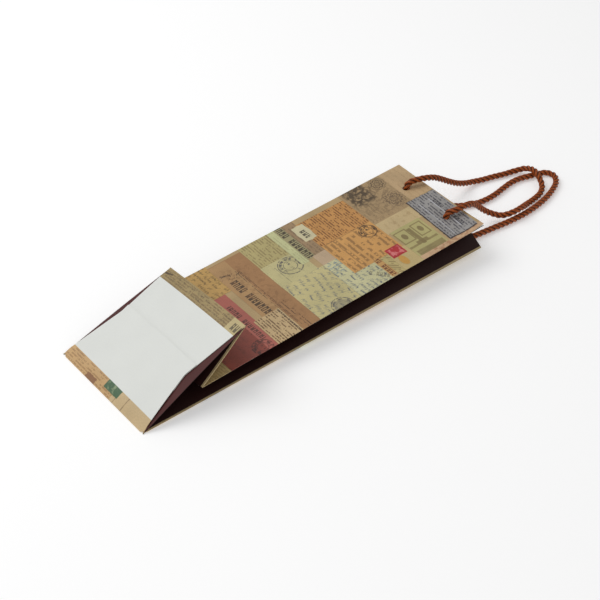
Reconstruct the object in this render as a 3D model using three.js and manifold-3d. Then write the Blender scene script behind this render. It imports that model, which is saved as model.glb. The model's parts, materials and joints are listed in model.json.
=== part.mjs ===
// A paper wine gift bag with two twisted rope handles, lying on its back with the block bottom half unfolded.
//
// Millimetres, +Z up. X runs across the bag, Y from the base towards the mouth, and the bag lies on z = 0.
// The origin is the bottom centre of the paper bag. The back panel rests on its base fold and, at the mouth,
// on the back handle's rope, so the whole bag is tipped a little about X.
//
// Inside the bag group, y = 0 is the back base fold and z = 0 is the middle of the back panel's paper.
// Seen from the side: the base runs from fold A up to fold B, the front's lower panel comes back down
// from B to fold C, and the front panel runs from C to the mouth. Each gusset is folded inwards on its
// centre crease, which ends at the point P, where two base corner triangles join it.
import * as THREE from 'three';
import Module from 'manifold-3d';
import { mergeVertices } from 'three/addons/utils/BufferGeometryUtils.js';

const wasm = await Module();
wasm.setup();

// Driving dimensions
const WIDTH = 110; // across the front
const DEPTH = 110; // the base's other side, and a gusset's unfolded width
const HEIGHT = 350; // base to mouth
const PAPER = 0.4;
const BOARD = 0.8;
const GAP = 0.3; // between faces that touch
const FOLD_C_HEIGHT = 14; // fold C over the back panel, as the bag lies
const MOUTH_HEIGHT = 24.7; // the front panel's mouth edge over the back panel
const CREASE_HEIGHT = 12.3; // the gussets' centre creases over the back panel
const CREASE_HALF_GAP = 0.9; // the two centre creases nearly meet on the centre line
const POINT_P_Y = 50.5; // how far along the bag the centre creases end
const ROPE = 5.5; // rope diameter
const ROPE_SIDES = 10;
const HOLE = 6.4; // handle hole diameter
const HOLE_SPACING = 54;
const HOLE_TO_MOUTH = 17.5;
const TURN_IN = 35; // the paper turned in round the mouth
const TIP = THREE.MathUtils.degToRad(1.05); // the rope under the back panel raises the mouth by this much

const half = WIDTH / 2;
const layer = PAPER + GAP; // from one sheet's middle to the next one's
const foldC = new THREE.Vector2(DEPTH / 2, FOLD_C_HEIGHT);
const acrossC = foldC.length();
const baseAngle = foldC.angle()
  + Math.acos((DEPTH ** 2 + acrossC ** 2 - (DEPTH / 2) ** 2) / (2 * DEPTH * acrossC));
const foldB = new THREE.Vector2(DEPTH * Math.cos(baseAngle), DEPTH * Math.sin(baseAngle));
const lowerAngle = foldC.clone().sub(foldB).angle();
const frontLength = HEIGHT - DEPTH / 2;
const frontAngle = Math.asin((MOUTH_HEIGHT - FOLD_C_HEIGHT) / frontLength);
const holeY = HEIGHT - HOLE_TO_MOUTH;
const holeX = HOLE_SPACING / 2;

const colours = {
  print: new THREE.MeshStandardMaterial({ color: 0xb39a6b, roughness: 0.55, metalness: 0 }),
  maroon: new THREE.MeshStandardMaterial({ color: 0x4a2424, roughness: 0.5, metalness: 0 }),
  white: new THREE.MeshStandardMaterial({ color: 0xe2e4de, roughness: 0.7, metalness: 0 }),
  board: new THREE.MeshStandardMaterial({ color: 0xb9b3a6, roughness: 0.9, metalness: 0 }),
  rope: new THREE.MeshStandardMaterial({ color: 0x6e2d0f, roughness: 0.6, metalness: 0 }),
};

function named(name, geometry, material) {
  const mesh = new THREE.Mesh(geometry, material.clone());
  mesh.name = name;
  return mesh;
}

// Solids

function toManifold(geometry) {
  const bare = geometry.clone();
  bare.deleteAttribute('normal');
  bare.deleteAttribute('uv');
  const merged = mergeVertices(bare, 1e-4);
  return new wasm.Manifold(new wasm.Mesh({
    numProp: 3,
    vertProperties: new Float32Array(merged.attributes.position.array),
    triVerts: new Uint32Array(merged.index.array),
  }));
}

function fromManifold(solid) {
  const mesh = solid.getMesh();
  const geometry = new THREE.BufferGeometry();
  geometry.setAttribute('position', new THREE.BufferAttribute(mesh.vertProperties, 3));
  geometry.setIndex(new THREE.BufferAttribute(mesh.triVerts, 1));
  return geometry;
}

// A flat sheet whose outline lies in x and y, with z = 0 in the middle of its thickness.
function plate(outline, thickness, holes = []) {
  const shape = new THREE.Shape(outline.map(([x, y]) => new THREE.Vector2(x, y)));
  for (const [x, y] of holes) {
    shape.holes.push(new THREE.Path().absarc(x, y, HOLE / 2, 0, 2 * Math.PI, true));
  }
  const settings = { depth: thickness, bevelEnabled: false, curveSegments: 12 };
  return new THREE.ExtrudeGeometry(shape, settings).translate(0, 0, -thickness / 2);
}

function rectangle(x0, x1, y0, y1) {
  return [[x0, y0], [x1, y0], [x1, y1], [x0, y1]];
}

// A flat sheet through three points in space, drawn in from each of its edges.
function triangle(corners, inset, thickness) {
  const [a, b, c] = corners;
  const along = b.clone().sub(a).normalize();
  const normal = along.clone().cross(c.clone().sub(a)).normalize();
  const across = normal.clone().cross(along);
  const flat = corners.map((p) => {
    const q = p.clone().sub(a);
    return new THREE.Vector2(q.dot(along), q.dot(across));
  });
  const inner = flat.map((p, i) => {
    const to = flat[(i + 1) % 3].clone().sub(p).normalize();
    const from = flat[(i + 2) % 3].clone().sub(p).normalize();
    const bisector = to.clone().add(from).normalize();
    const halfAngle = Math.acos(THREE.MathUtils.clamp(to.dot(from), -1, 1)) / 2;
    return p.clone().addScaledVector(bisector, inset / Math.sin(halfAngle));
  });
  const geometry = plate(inner.map((p) => [p.x, p.y]), thickness);
  const place = new THREE.Matrix4().makeBasis(along, across, normal).setPosition(a);
  return geometry.applyMatrix4(place);
}

// A bent sheet: middle(s, t) gives its middle surface for s and t from 0 to 1. Its sides are closed.
function bentSheet(middle, rows, columns, thickness) {
  const positions = [];
  const step = 1e-3;
  for (const side of [1, -1]) {
    for (let r = 0; r <= rows; r++) {
      for (let c = 0; c <= columns; c++) {
        const [s, t] = [r / rows, c / columns];
        const p = middle(s, t);
        const ds = middle(s + step, t).sub(middle(s - step, t));
        const dt = middle(s, t + step).sub(middle(s, t - step));
        const normal = ds.cross(dt).normalize();
        positions.push(...p.addScaledVector(normal, side * thickness / 2).toArray());
      }
    }
  }
  const at = (side, r, c) => (side * (rows + 1) + r) * (columns + 1) + c;
  const index = [];
  const quad = (a, b, c, d) => index.push(a, b, c, a, c, d);
  for (let r = 0; r < rows; r++) {
    for (let c = 0; c < columns; c++) {
      quad(at(0, r, c), at(0, r + 1, c), at(0, r + 1, c + 1), at(0, r, c + 1));
      quad(at(1, r, c), at(1, r, c + 1), at(1, r + 1, c + 1), at(1, r + 1, c));
    }
  }
  for (let r = 0; r < rows; r++) {
    quad(at(0, r, 0), at(1, r, 0), at(1, r + 1, 0), at(0, r + 1, 0));
    quad(at(0, r + 1, columns), at(1, r + 1, columns), at(1, r, columns), at(0, r, columns));
  }
  for (let c = 0; c < columns; c++) {
    quad(at(0, 0, c + 1), at(1, 0, c + 1), at(1, 0, c), at(0, 0, c));
    quad(at(0, rows, c), at(1, rows, c), at(1, rows, c + 1), at(0, rows, c + 1));
  }
  const geometry = new THREE.BufferGeometry();
  geometry.setAttribute('position', new THREE.Float32BufferAttribute(positions, 3));
  geometry.setIndex(index);
  return geometry;
}

// A round rope along a smooth curve through the points.
function rope(points, steps) {
  const curve = new THREE.CatmullRomCurve3(points.map((p) => new THREE.Vector3(...p)), false, 'centripetal');
  const section = new THREE.Shape();
  for (let i = 0; i < ROPE_SIDES; i++) {
    const angle = 2 * Math.PI * i / ROPE_SIDES;
    const [x, y] = [ROPE / 2 * Math.cos(angle), ROPE / 2 * Math.sin(angle)];
    if (i === 0) section.moveTo(x, y);
    else section.lineTo(x, y);
  }
  section.closePath();
  return new THREE.ExtrudeGeometry(section, { steps, bevelEnabled: false, extrudePath: curve });
}

// Where the gussets lie. across is 0 at the panel's edge and 1 at the centre crease, y is along the bag.

// Towards the mouth the knots inside hold the gusset paper off the panels, so it rises steeply from the edge
// and runs level from the middle on.
const bulgeStart = 0.3 * HEIGHT;
const bulgeFull = 0.85 * HEIGHT;
const levelFrom = 0.5;

function bulge(across, y) {
  const towardsMouth = THREE.MathUtils.smoothstep(y, bulgeStart, bulgeFull);
  const steep = Math.sin(Math.min(1, Math.max(across, 0) / levelFrom) * Math.PI / 2);
  return THREE.MathUtils.lerp(across, steep, towardsMouth);
}

function frontHeight(y) {
  return FOLD_C_HEIGHT + (y - DEPTH / 2) * Math.tan(frontAngle);
}

const gussetReach = half - CREASE_HALF_GAP;

function gussetBackPoint(sign, across, y, inward = 0) {
  const rise = CREASE_HEIGHT - layer / 2 - layer;
  const z = layer + rise * bulge(across, y) - inward;
  return new THREE.Vector3(sign * (half - gussetReach * across), y, z);
}

function gussetFrontPoint(sign, across, y, inward = 0) {
  const drop = frontHeight(y) - CREASE_HEIGHT - layer / 2 - layer;
  const z = frontHeight(y) - layer - drop * bulge(across, y) + inward;
  return new THREE.Vector3(sign * (half - gussetReach * across), y, z);
}

const gussetColumns = 10;

// A gusset sheet from its lower end, lowEnd(across), to highEnd along the bag.
function gussetSheet(point, sign, lowEnd, highEnd, acrossRange, rows, inward = 0) {
  const middle = (s, t) => {
    const across = THREE.MathUtils.lerp(acrossRange[0], acrossRange[1], t);
    const y = THREE.MathUtils.lerp(lowEnd(across), highEnd, s);
    return point(sign, across, y, inward);
  };
  const mirrored = (s, t) => middle(s, 1 - t);
  return bentSheet(sign > 0 ? mirrored : middle, rows, gussetColumns, PAPER);
}

// Panels

const foldInset = 0.6; // a panel stops this far short of its fold
const bag = new THREE.Group();
bag.rotation.x = TIP;
bag.position.set(0, -HEIGHT / 2, PAPER / 2 * Math.cos(TIP) - foldInset * Math.sin(TIP));

const holes = [[-holeX, holeY], [holeX, holeY]];
const turnInTop = 1.0; // inner layers stop this far below the mouth edge
const boardShort = 4; // the board is this much shorter than the paper turned in over it
const stiffenerSide = 4.5; // inner layers stop this far short of the side folds

function layersAtMouth(prefix, mouthY, holesHere, inwards) {
  const boardAt = inwards * (PAPER / 2 + GAP + BOARD / 2);
  const paperAt = boardAt + inwards * (BOARD / 2 + GAP + PAPER / 2);
  const edge = half - stiffenerSide;
  const boardOutline = rectangle(-edge, edge, mouthY - TURN_IN + boardShort, mouthY - turnInTop);
  const paperOutline = rectangle(-edge, edge, mouthY - TURN_IN, mouthY - turnInTop / 2);
  const board = named(`${prefix}_mouth_board`, plate(boardOutline, BOARD, holesHere), colours.board);
  const turnIn = named(`${prefix}_turn_in`, plate(paperOutline, PAPER, holesHere), colours.white);
  board.position.z = boardAt;
  turnIn.position.z = paperAt;
  return [board, turnIn];
}

const backOutline = rectangle(-half, half, foldInset, HEIGHT);
bag.add(named('back_panel', plate(backOutline, PAPER, holes), colours.print));
bag.add(...layersAtMouth('back', HEIGHT, holes, 1));

// The front panel's own frame starts at fold C: y runs to the mouth and z points outwards.
const front = new THREE.Group();
front.position.set(0, foldC.x, foldC.y);
front.rotation.x = frontAngle;
const frontHoleY = frontLength - HOLE_TO_MOUTH;
const frontHoles = [[-holeX, frontHoleY], [holeX, frontHoleY]];
const frontOutline = rectangle(-half, half, foldInset, frontLength);
front.add(named('front_panel', plate(frontOutline, PAPER, frontHoles), colours.print));
front.add(...layersAtMouth('front', frontLength, frontHoles, -1));
bag.add(front);

// The front's lower panel, from fold B down to fold C. It stops further short of C, where it nearly closes.
const lower = new THREE.Group();
lower.position.set(0, foldB.x, foldB.y);
lower.rotation.x = lowerAngle;
const lowerInset = 1.6;
const lowerOutline = rectangle(-half, half, 2 * foldInset, DEPTH / 2 - lowerInset);
lower.add(named('front_lower_panel', plate(lowerOutline, PAPER), colours.print));
bag.add(lower);

// The base: side flaps, then the front flap, then the back flap glued over both, and a board inside.
// Its frame starts at fold A: y runs to fold B and z points out of the bag.
const base = new THREE.Group();
base.rotation.x = baseAngle;
const flapTaper = { right: { kink: 44, inset: 8.2 }, left: { kink: 61.6, inset: 4 } };
const sideFlapReach = 42;
const sideFlapInset = 5;
const sideFlapSlope = 24; // its inner corners are cut back this far from folds A and B
const frontFlapReach = 0.65 * DEPTH;
const backFlapReach = 0.58 * DEPTH;
const baseBoardSide = 8;
const sideFlapOutline = [[half, sideFlapInset], [half, DEPTH - sideFlapInset],
  [half - sideFlapReach, DEPTH - sideFlapSlope], [half - sideFlapReach, sideFlapSlope]];

function backFlapEdge(side, y) {
  return half - flapTaper[side].inset * y / flapTaper[side].kink;
}

function frontFlapEdge(side, y) {
  return half - flapTaper[side].inset * (DEPTH - y) / (DEPTH - flapTaper[side].kink);
}

function flapOutline(edge, y0, y1) {
  return [[-edge('left', y0), y0], [edge('right', y0), y0], [edge('right', y1), y1], [-edge('left', y1), y1]];
}

for (const [side, sign] of [['left', -1], ['right', 1]]) {
  const outline = sideFlapOutline.map(([x, y]) => [sign * x, y]);
  if (sign < 0) outline.reverse();
  base.add(named(`base_side_flap_${side}`, plate(outline, PAPER), colours.maroon));
}
const frontFlap = plate(flapOutline(frontFlapEdge, DEPTH - frontFlapReach, DEPTH - foldInset), PAPER);
const frontFlapMesh = named('base_front_flap', frontFlap, colours.white);
frontFlapMesh.position.z = layer;
const backFlap = plate(flapOutline(backFlapEdge, foldInset, backFlapReach), PAPER);
const backFlapMesh = named('base_back_flap', backFlap, colours.white);
backFlapMesh.position.z = 2 * layer;
const boardOutline = rectangle(-(half - baseBoardSide), half - baseBoardSide, 6, DEPTH - 15);
const boardMesh = named('base_board', plate(boardOutline, BOARD), colours.board);
boardMesh.position.z = -(PAPER / 2 + GAP + BOARD / 2);
base.add(frontFlapMesh, backFlapMesh, boardMesh);
bag.add(base);

// Gussets and the base corner triangles, left and right
const creaseInset = 1.2;
const triangleStop = 14; // the corner triangles stop this far from fold B, where the two layers nearly touch
const seamWidth = 14;
const seamStart = 0.26; // share of the way from the panel's edge to the centre crease
const seamFromBase = 0.62 * DEPTH;
const fullWidth = [0.006, 0.995]; // a gusset sheet's share of the way across, clear of both folds
const turnInWidth = [0.14, 0.97];
for (const [side, sign] of [['left', -1], ['right', 1]]) {
  const lowBack = (across) => POINT_P_Y * across + 1.5;
  const lowFront = (across) => THREE.MathUtils.lerp(DEPTH / 2, POINT_P_Y, across) + 0.8;
  bag.add(named(`gusset_back_${side}`,
    gussetSheet(gussetBackPoint, sign, lowBack, HEIGHT, fullWidth, 14), colours.maroon));
  bag.add(named(`gusset_front_${side}`,
    gussetSheet(gussetFrontPoint, sign, lowFront, HEIGHT, fullWidth, 14), colours.maroon));
  const turned = () => HEIGHT - TURN_IN + boardShort;
  bag.add(named(`gusset_back_turn_in_${side}`,
    gussetSheet(gussetBackPoint, sign, turned, HEIGHT - turnInTop, turnInWidth, 3, layer), colours.white));
  bag.add(named(`gusset_front_turn_in_${side}`,
    gussetSheet(gussetFrontPoint, sign, turned, HEIGHT - turnInTop, turnInWidth, 3, layer), colours.white));

  const x = sign * half;
  const inBase = new THREE.Vector3(0, Math.sin(baseAngle), -Math.cos(baseAngle)).multiplyScalar(layer);
  const inLower = new THREE.Vector3(0, Math.sin(lowerAngle), -Math.cos(lowerAngle)).multiplyScalar(layer);
  const cornerA = new THREE.Vector3(x, 0, 0);
  const cornerB = new THREE.Vector3(x, foldB.x, foldB.y);
  const cornerC = new THREE.Vector3(x, foldC.x, foldC.y);
  const aboveA = cornerA.clone().lerp(cornerB, triangleStop / 2 / DEPTH);
  const belowB = cornerB.clone().lerp(cornerA, triangleStop / DEPTH);
  const besideB = cornerB.clone().lerp(cornerC, 2 * triangleStop / DEPTH);
  const pointP = new THREE.Vector3(sign * CREASE_HALF_GAP, POINT_P_Y, CREASE_HEIGHT);
  const overP = pointP.clone().setZ(CREASE_HEIGHT + layer / 2);
  const nearBase = [aboveA.add(inBase), belowB.add(inBase), overP];
  const nearLower = [besideB.add(inLower), cornerC.clone().add(inLower), pointP];
  bag.add(named(`base_triangle_${side}`, triangle(nearBase, creaseInset, PAPER), colours.maroon));
  bag.add(named(`lower_triangle_${side}`, triangle(nearLower, creaseInset, PAPER), colours.maroon));
}

// The glue tab of the side seam lies inside the left gusset, beside the back panel's edge.
const seamEnd = seamStart + seamWidth / gussetReach;
const seamLow = () => seamFromBase;
bag.add(named('side_seam_tab',
  gussetSheet(gussetBackPoint, -1, seamLow, HEIGHT - TURN_IN - boardShort, [seamStart, seamEnd], 10, layer),
  colours.maroon));

// Knots: a flattened ball inside the mouth, with a neck through the hole to the outer face
const knotRadius = 5.6;
const knotHeight = 8;
const innerLayers = PAPER / 2 + GAP + BOARD + GAP + PAPER;
const neck = PAPER / 2 + 0.1; // the neck stands this far out of the panel

function knot(name, inwards) {
  const top = -(innerLayers + GAP);
  const rounds = 7;
  const profile = [new THREE.Vector2(0, top - knotHeight)];
  for (let i = 1; i <= rounds; i++) {
    const angle = -Math.PI / 2 + Math.PI * i / (rounds + 1);
    const radius = knotRadius * Math.cos(angle);
    const y = top - knotHeight / 2 + knotHeight / 2 * Math.sin(angle);
    if (radius > ROPE / 2 || angle < 0) profile.push(new THREE.Vector2(radius, y));
  }
  profile.push(new THREE.Vector2(ROPE / 2, top - 0.2));
  profile.push(new THREE.Vector2(ROPE / 2, neck));
  profile.push(new THREE.Vector2(0, neck));
  const geometry = new THREE.LatheGeometry(profile, 16).rotateX(Math.PI / 2);
  const mesh = named(name, fromManifold(toManifold(geometry)), colours.rope);
  if (inwards) mesh.rotation.x = Math.PI;
  return mesh;
}

for (const [side, sign] of [['left', -1], ['right', 1]]) {
  const frontKnot = knot(`front_knot_${side}`, false);
  frontKnot.position.set(sign * holeX, frontHoleY, 0);
  front.add(frontKnot);
  const backKnot = knot(`back_knot_${side}`, true);
  backKnot.position.set(sign * holeX, holeY, 0);
  bag.add(backKnot);
}

// Rope handles. Their routes are in the object's own frame, where the ropes lie on z = 0 or on each other.
const floorZ = ROPE / 2 + 0.15;
const overZ = floorZ + ROPE + GAP + 0.2; // one rope lying over the other

const frontRope = [
  [-27.0, 157.4, 32.2], [-26.9, 157.9, 33.8], [-26.3, 160.2, 35.5], [-25.0, 163.8, 36.4], [-23.4, 168.2, 36.8],
  [-21.8, 173.0, 36.8], [-20.4, 180.0, 35.6], [-20.2, 188.5, 32.2], [-20.6, 198.0, 26.2], [-20.7, 208.0, 19.4],
  [-20.9, 219.0, 12.6], [-21.6, 231.0, 7.0], [-21.6, 242.0, 3.9], [-19.6, 252.0, floorZ], [-17.0, 263.0, floorZ],
  [-13.6, 275.0, floorZ], [-10.8, 286.0, 3.4], [-5.6, 293.4, 5.8], [3.6, 294.2, overZ], [13.8, 291.6, 7.4],
  [22.2, 287.2, 3.9], [27.4, 279.5, floorZ], [30.4, 268.0, floorZ], [33.6, 254.0, 5.0], [37.8, 242.5, overZ],
  [38.0, 232.0, overZ], [32.8, 222.9, 6.4], [26.6, 214.7, 9.0], [24.4, 206.0, 15.6], [25.4, 196.5, 25.0],
  [27.8, 186.0, 32.6], [29.8, 176.5, 36.0], [30.4, 169.2, 36.8], [29.6, 164.0, 36.4], [27.9, 160.2, 35.5],
  [27.1, 157.9, 33.8], [27.0, 157.4, 32.2],
];
const backRunRight = [[27.0, 157.4, floorZ], [29.0, 161.5, floorZ], [31.6, 168.0, floorZ], [33.9, 175.2, floorZ]];
const backRunLeft = [[-27.0, 157.4, floorZ], [-26.4, 161.5, floorZ], [-25.2, 168.0, floorZ],
  [-23.2, 175.2, floorZ]];
const backRope = [
  [34.05, 175.7, floorZ], [35.8, 183.0, floorZ], [37.3, 195.0, floorZ], [38.6, 208.0, floorZ],
  [40.0, 221.0, floorZ], [40.7, 235.0, floorZ], [40.6, 248.0, floorZ], [39.2, 261.0, floorZ],
  [36.0, 277.0, floorZ], [31.2, 291.0, floorZ], [24.6, 303.5, floorZ], [16.5, 309.8, floorZ],
  [9.0, 308.0, floorZ], [5.2, 300.5, floorZ], [2.8, 291.0, floorZ], [0.2, 281.0, floorZ],
  [-0.2, 270.0, floorZ], [1.6, 258.0, floorZ], [3.8, 246.0, floorZ], [4.6, 234.0, floorZ],
  [3.2, 222.0, floorZ], [-2.0, 209.0, floorZ], [-10.0, 197.5, floorZ], [-17.5, 187.0, floorZ],
  [-23.0, 175.7, floorZ],
];

const object = new THREE.Group();
object.add(bag);
object.add(named('front_rope', rope(frontRope, 44), colours.rope));
object.add(named('back_rope', rope(backRope, 34), colours.rope));
object.add(named('back_rope_run_left', rope(backRunLeft, 3), colours.rope));
object.add(named('back_rope_run_right', rope(backRunRight, 3), colours.rope));

export default object;
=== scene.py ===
import json
import math

import bmesh
import bpy
import numpy as np
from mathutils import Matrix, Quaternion, Vector, noise


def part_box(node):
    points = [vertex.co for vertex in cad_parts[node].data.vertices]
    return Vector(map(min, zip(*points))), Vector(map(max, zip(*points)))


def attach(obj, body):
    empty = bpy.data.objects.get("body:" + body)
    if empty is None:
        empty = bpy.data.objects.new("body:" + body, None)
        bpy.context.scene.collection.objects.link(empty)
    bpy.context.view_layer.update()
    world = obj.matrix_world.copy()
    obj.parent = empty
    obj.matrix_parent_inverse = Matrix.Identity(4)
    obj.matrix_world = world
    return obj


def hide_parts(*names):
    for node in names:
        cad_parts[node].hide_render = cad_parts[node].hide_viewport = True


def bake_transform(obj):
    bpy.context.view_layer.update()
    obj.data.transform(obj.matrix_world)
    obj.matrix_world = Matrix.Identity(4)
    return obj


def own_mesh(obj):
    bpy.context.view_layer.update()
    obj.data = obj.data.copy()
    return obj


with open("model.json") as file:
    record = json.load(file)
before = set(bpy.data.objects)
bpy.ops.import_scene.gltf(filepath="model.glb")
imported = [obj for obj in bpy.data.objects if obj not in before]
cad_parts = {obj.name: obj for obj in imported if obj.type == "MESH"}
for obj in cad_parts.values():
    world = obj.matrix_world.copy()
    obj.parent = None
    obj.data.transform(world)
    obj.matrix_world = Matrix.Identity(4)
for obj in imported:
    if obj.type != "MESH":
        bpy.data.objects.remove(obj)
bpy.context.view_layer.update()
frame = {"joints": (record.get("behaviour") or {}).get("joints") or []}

# The bag's own axes. X runs across it, along towards its mouth, and out off the back panel.
JOINTS = {joint["name"]: joint for joint in frame["joints"]}
FOLD_A = Vector(JOINTS["base_fold"]["pos_m"])
FOLD_B = Vector(JOINTS["front_lower_fold"]["pos_m"])
FOLD_C = Vector(JOINTS["front_fold"]["pos_m"])
ACROSS = Vector((1, 0, 0))
ALONG = Vector(JOINTS["gusset_back_fold_right"]["axis"])
OUT = ACROSS.cross(ALONG)
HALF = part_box("back_panel")[1].x

# Sizes in metres
MM = 0.001
PAPER = 0.4 * MM
BOARD = 0.8 * MM
LAYER = 0.7 * MM  # from one sheet's middle to the next one's
DEPTH = (FOLD_B - FOLD_A).length
LOWER = (FOLD_C - FOLD_B).length
HEIGHT = DEPTH / 2 + 295 * MM
FRONT = HEIGHT - DEPTH / 2
MOUTH_HEIGHT = 24.7 * MM
CREASE_HEIGHT = 12.3 * MM
CREASE_HALF_GAP = 0.9 * MM
GUSSET = HALF - CREASE_HALF_GAP
POINT_P = 50.5 * MM  # how far along the bag the gussets' centre creases end
HOLE_RADIUS = 3.2 * MM
HOLE_TO_MOUTH = 17.5 * MM
TURN_IN = 35 * MM
ROPE = 5.5 * MM

SIDES = (("left", -1), ("right", 1))

# How the base stands: it is a little twisted, and its right end is open wider.
BASE_ANGLE_LEFT = math.radians(17.8)
BASE_ANGLE_RIGHT = math.radians(28.4)


def along_out(point):
    """A world point's distance along the bag and out from its back panel."""
    return (point - FOLD_A).dot(ALONG), (point - FOLD_A).dot(OUT)


BASE_ALONG = (FOLD_B - FOLD_A).normalized()
LOWER_ALONG = (FOLD_C - FOLD_B).normalized()
C_ALONG, C_OUT = along_out(FOLD_C)
FRONT_ANGLE = math.asin((MOUTH_HEIGHT - C_OUT) / FRONT)


def bag(x, along, out):
    """A point of the bag in world coordinates."""
    return FOLD_A + x * ACROSS + along * ALONG + out * OUT


def lerp(a, b, t):
    return a + (b - a) * t


def smooth(value, low, high):
    """Rises from 0, at or under low, to 1, at or over high."""
    t = min(1.0, max(0.0, (value - low) / (high - low)))
    return t * t * (3 - 2 * t)


def new_object(name, data):
    made = bpy.data.objects.new(name, data)
    bpy.context.scene.collection.objects.link(made)
    return made


# Camera

CAMERA_PLACE = Vector((0.6558, -0.5363, 0.7193))
CAMERA_TARGET = Vector((0.0075, 0.0130, 0.0))
CAMERA_ROLL = math.radians(1.61)
CAMERA_LENS = 81.1


def add_camera():
    data = bpy.data.cameras.new("camera")
    data.lens = CAMERA_LENS
    data.sensor_width = 36
    camera = new_object("camera", data)
    camera.location = CAMERA_PLACE
    camera.rotation_mode = "QUATERNION"
    towards = (CAMERA_TARGET - CAMERA_PLACE).to_track_quat("-Z", "Y")
    camera.rotation_quaternion = towards @ Quaternion((0, 0, 1), CAMERA_ROLL)
    bpy.context.scene.camera = camera


add_camera()


# Node trees


class Tree:
    """Shorthand for filling one node tree. A place is a pair of numbers, x and y."""

    def __init__(self, tree):
        self.tree = tree

    def put(self, socket, value):
        if isinstance(value, bpy.types.NodeSocket):
            self.tree.links.new(value, socket)
        elif value is not None:
            socket.default_value = value

    def node(self, kind, inputs=None, **settings):
        made = self.tree.nodes.new("ShaderNode" + kind)
        for name, value in settings.items():
            setattr(made, name, value)
        for key, value in (inputs or {}).items():
            self.put(made.inputs[key], value)
        return made

    def math(self, operation, *values):
        return self.node("Math", dict(enumerate(values)), operation=operation).outputs[0]

    def scaled(self, value, factor, more):
        """value * factor + more"""
        return self.math("MULTIPLY_ADD", value, factor, more)

    def product(self, first, *others):
        for other in others:
            first = self.math("MULTIPLY", first, other)
        return first

    def floor(self, value):
        return self.math("FLOOR", value)

    def clamped(self, value):
        return self.math("MAXIMUM", self.math("MINIMUM", value, 1.0), 0.0)

    def below(self, value, edge, soft):
        """1 where value is under edge, 0 over it."""
        room = self.math("SUBTRACT", edge, value)
        return self.clamped(self.scaled(room, 0.5 / soft, 0.5))

    def ramp(self, value, low, high, start, end):
        """Runs from start, at or under low, to end, at or over high."""
        slope = 1 / (high - low)
        share = self.clamped(self.scaled(value, slope, -low * slope))
        return self.scaled(share, end - start, start)

    def near(self, value, centre, reach, soft):
        """1 where value is within reach of centre."""
        return self.below(self.math("ABSOLUTE", self.math("SUBTRACT", value, centre)), reach, soft)

    def noise(self, vector, scale, detail=2.0):
        inputs = {"Vector": vector, "Scale": scale, "Detail": detail}
        return self.node("TexNoise", inputs, noise_dimensions="2D").outputs[0]

    def streak(self, value, scale, detail=1.0):
        """Noise along one number."""
        inputs = {"W": value, "Scale": scale, "Detail": detail}
        return self.node("TexNoise", inputs, noise_dimensions="1D").outputs[0]

    def chance(self, first, second):
        """A random number from 0 to 1 for each pair of whole numbers."""
        both = self.scaled(first, 12.9898, self.product(second, 78.233))
        return self.math("FRACT", self.product(self.math("SINE", both), 437.585))

    def mix(self, share, a, b):
        return self.node("Mix", {0: share, 6: a, 7: b}, data_type="RGBA").outputs[2]

    def placed(self, place, x, y, turn=0.0):
        """The place measured from (x, y), in axes turned by so many degrees."""
        over, up = self.math("SUBTRACT", place[0], x), self.math("SUBTRACT", place[1], y)
        if not turn:
            return over, up
        cos, sin = math.cos(math.radians(turn)), math.sin(math.radians(turn))
        turned_x = self.scaled(up, sin, self.product(over, cos))
        turned_y = self.scaled(over, -sin, self.product(up, cos))
        return turned_x, turned_y

    def group(self, tree, values):
        made = self.node("Group", None, node_tree=tree)
        for key, value in enumerate(values):
            self.put(made.inputs[key], value)
        return made.outputs[0]


def rgb(red, green, blue):
    """A display colour, 0 to 255 a channel, as the linear colour that a shader takes."""
    def linear(channel):
        share = channel / 255
        return ((share + 0.055) / 1.055) ** 2.4 if channel > 10 else share / 12.92

    return (linear(red), linear(green), linear(blue), 1.0)


def pattern(*numbers):
    """Makes a node group of the function below it. The group turns a place, in millimetres, and some
    numbers into a share of ink."""
    def build(fill):
        tree = bpy.data.node_groups.new(fill.__name__, "ShaderNodeTree")
        for number in ("x", "y", *numbers):
            tree.interface.new_socket(number, in_out="INPUT", socket_type="NodeSocketFloat")
        tree.interface.new_socket("ink", in_out="OUTPUT", socket_type="NodeSocketFloat")
        t = Tree(tree)
        entry = tree.nodes.new("NodeGroupInput")
        ink = fill(t, *entry.outputs[: len(numbers) + 2])
        t.put(tree.nodes.new("NodeGroupOutput").inputs[0], ink)
        return lambda t, place, *values: t.group(tree, (*place, *values))

    return build


# Printed patterns. None of them draws a real letter.


def past_box(t, x, y, half_x, half_y):
    """How far a place is past a box's edge: under 0 inside it."""
    over_x = t.math("SUBTRACT", t.math("ABSOLUTE", x), half_x)
    over_y = t.math("SUBTRACT", t.math("ABSOLUTE", y), half_y)
    return t.math("MAXIMUM", over_x, over_y)


@pattern("half_x", "half_y", "tear")
def box(t, x, y, half_x, half_y, tear):
    return t.below(t.math("ADD", past_box(t, x, y, half_x, half_y), tear), 0.0, 0.15)


@pattern("half_x", "half_y", "tear")
def oval(t, x, y, half_x, half_y, tear):
    reach_x, reach_y = t.math("DIVIDE", x, half_x), t.math("DIVIDE", y, half_y)
    reach = t.scaled(reach_x, reach_x, t.product(reach_y, reach_y))
    return t.below(t.scaled(tear, 0.2, reach), 1.0, 0.1)


@pattern("pitch", "letter")
def small_type(t, x, y, pitch, letter):
    """Lines of small type, seen as rows of broken marks."""
    rows = t.math("DIVIDE", y, pitch)
    in_row = t.near(t.math("FRACT", rows), 0.5, 0.27, 0.06)
    third = t.floor(t.product(rows, 3.0))
    column = t.floor(t.math("DIVIDE", x, letter))
    marks = t.math("GREATER_THAN", t.chance(column, third), 0.32)
    word = t.chance(t.floor(t.math("DIVIDE", x, 4.3)), t.floor(rows))
    return t.product(in_row, marks, t.math("GREATER_THAN", word, 0.16))


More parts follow.
